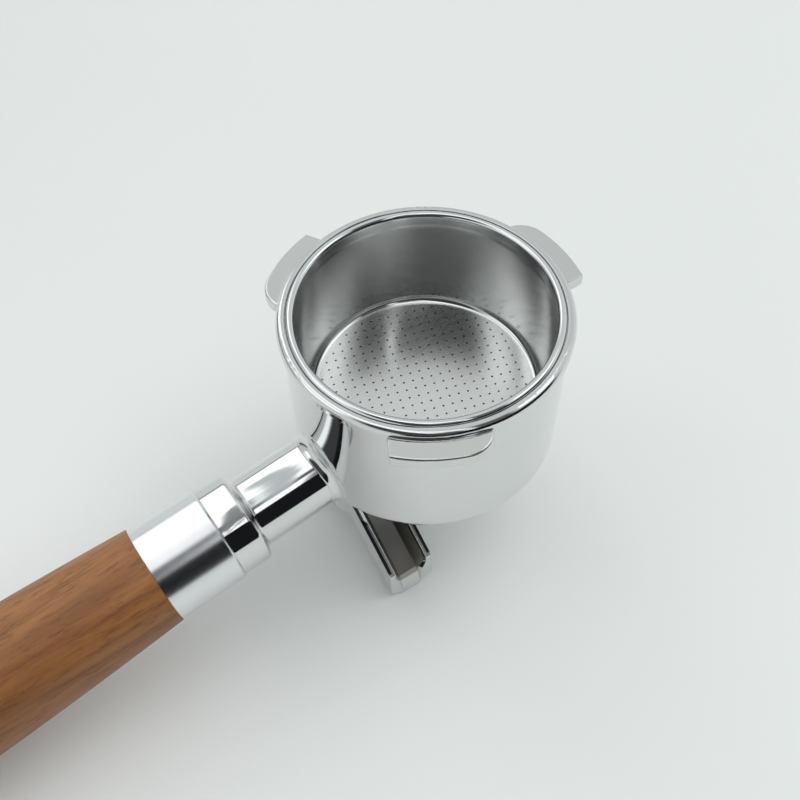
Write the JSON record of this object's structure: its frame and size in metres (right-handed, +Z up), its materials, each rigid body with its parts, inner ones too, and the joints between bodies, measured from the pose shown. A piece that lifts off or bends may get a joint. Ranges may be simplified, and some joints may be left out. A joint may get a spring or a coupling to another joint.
{
  "type": "portafilter",
  "caption": "Three-lug portafilter with a wooden handle, a perforated basket held by a wire spring, and an open twin spout screwed on under a polished cup.",
  "frame": {"origin": "centre of the basket's rim plane, on the cup's axis", "axes": "+Z up along the cup's axis; the handle runs along -Y, falling 5.7 degrees; the spout's channels run along -X and +X"},
  "size_m": [0.0635, 0.2109, 0.0654],
  "materials": {
    "polished_chrome": "polished chrome plate on a brass casting",
    "pressed_steel": "satin drawn stainless steel with a polished rim",
    "spring_steel": "bright spring wire",
    "seal": "off-white sealing washer",
    "spout_chrome": "chrome plate, polished on the rails and as cast in the channels",
    "zinc_steel": "zinc plated steel",
    "satin_aluminium": "satin anodised aluminium, turned",
    "brass": "turned brass",
    "wood": "oiled reddish-brown hardwood"
  },
  "bodies": {
    "portafilter": {"portafilter_body": "polished_chrome", "basket_spring": "spring_steel", "handle_stud": "zinc_steel", "lock_washer": "zinc_steel", "ferrule": "satin_aluminium", "grip_insert": "brass", "wooden_grip": "wood"},
    "basket": {"filter_basket": "pressed_steel"},
    "washer": {"spout_washer": "seal"},
    "spout": {"twin_spout": "spout_chrome"}
  },
  "joints": [
    {"name": "basket_lift", "type": "slide", "parent": "portafilter", "child": "basket", "axis": [0, 0, 1], "range_m": [0, 0.035]},
    {"name": "washer_drop", "type": "slide", "parent": "portafilter", "child": "washer", "axis": [0, 0, -1], "range_m": [0, 0.0046]},
    {"name": "spout_turn", "type": "hinge", "parent": "washer", "child": "spout", "pos_m": [0, -0.0175, -0.045], "axis": [0, 0, -1], "range_deg": [0, 1800]}
  ],
  "couplings": [
    {"joint": "washer_drop", "follows": "spout_turn", "m_per_rad": 0.00014435}
  ]
}
